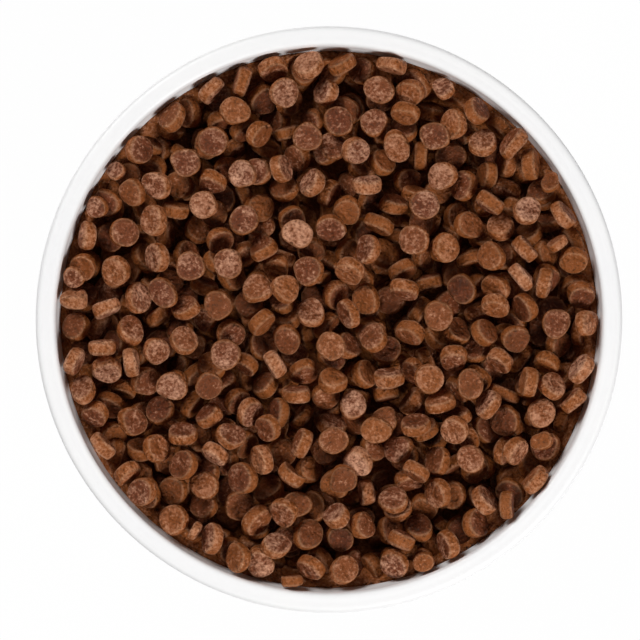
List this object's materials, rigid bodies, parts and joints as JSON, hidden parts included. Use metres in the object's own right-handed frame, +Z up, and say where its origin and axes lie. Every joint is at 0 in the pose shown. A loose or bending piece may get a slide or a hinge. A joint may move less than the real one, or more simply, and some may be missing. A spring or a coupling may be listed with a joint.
{
  "type": "bowl of dry pet food",
  "caption": "Round white glazed ceramic pet bowl with a foot ring, heaped with loose brown disc-shaped kibble.",
  "frame": {"origin": "middle of the foot ring's underside, on the surface the bowl stands on", "axes": "+Z up, along the bowl's axis of turning; X and Y lie in the standing surface, and the picture's top is +Y"},
  "size_m": [0.17, 0.17, 0.0627],
  "materials": {
    "bowl_glaze": "gloss",
    "kibble": "matte"
  },
  "bodies": {
    "root": {"bowl": "bowl_glaze", "kibble_bed": "kibble", "kibble_01": "kibble", "kibble_02": "kibble", "kibble_03": "kibble", "kibble_04": "kibble", "kibble_05": "kibble", "kibble_06": "kibble", "kibble_07": "kibble", "kibble_08": "kibble", "kibble_09": "kibble", "kibble_10": "kibble", "kibble_11": "kibble", "kibble_12": "kibble", "kibble_13": "kibble", "kibble_14": "kibble", "kibble_15": "kibble", "kibble_16": "kibble", "kibble_17": "kibble", "kibble_18": "kibble", "kibble_19": "kibble", "kibble_20": "kibble", "kibble_21": "kibble", "kibble_22": "kibble", "kibble_23": "kibble", "kibble_24": "kibble", "kibble_25": "kibble", "kibble_26": "kibble", "kibble_27": "kibble", "kibble_28": "kibble", "kibble_29": "kibble", "kibble_30": "kibble", "kibble_31": "kibble", "kibble_32": "kibble", "kibble_33": "kibble", "kibble_34": "kibble", "kibble_35": "kibble", "kibble_36": "kibble", "kibble_37": "kibble", "kibble_38": "kibble", "kibble_39": "kibble", "kibble_40": "kibble", "kibble_41": "kibble", "kibble_42": "kibble", "kibble_43": "kibble", "kibble_44": "kibble", "kibble_45": "kibble", "kibble_46": "kibble", "kibble_47": "kibble", "kibble_48": "kibble", "kibble_49": "kibble", "kibble_50": "kibble", "kibble_51": "kibble", "kibble_52": "kibble", "kibble_53": "kibble", "kibble_54": "kibble", "kibble_55": "kibble", "kibble_56": "kibble", "kibble_57": "kibble", "kibble_58": "kibble"}
  },
  "joints": []
}
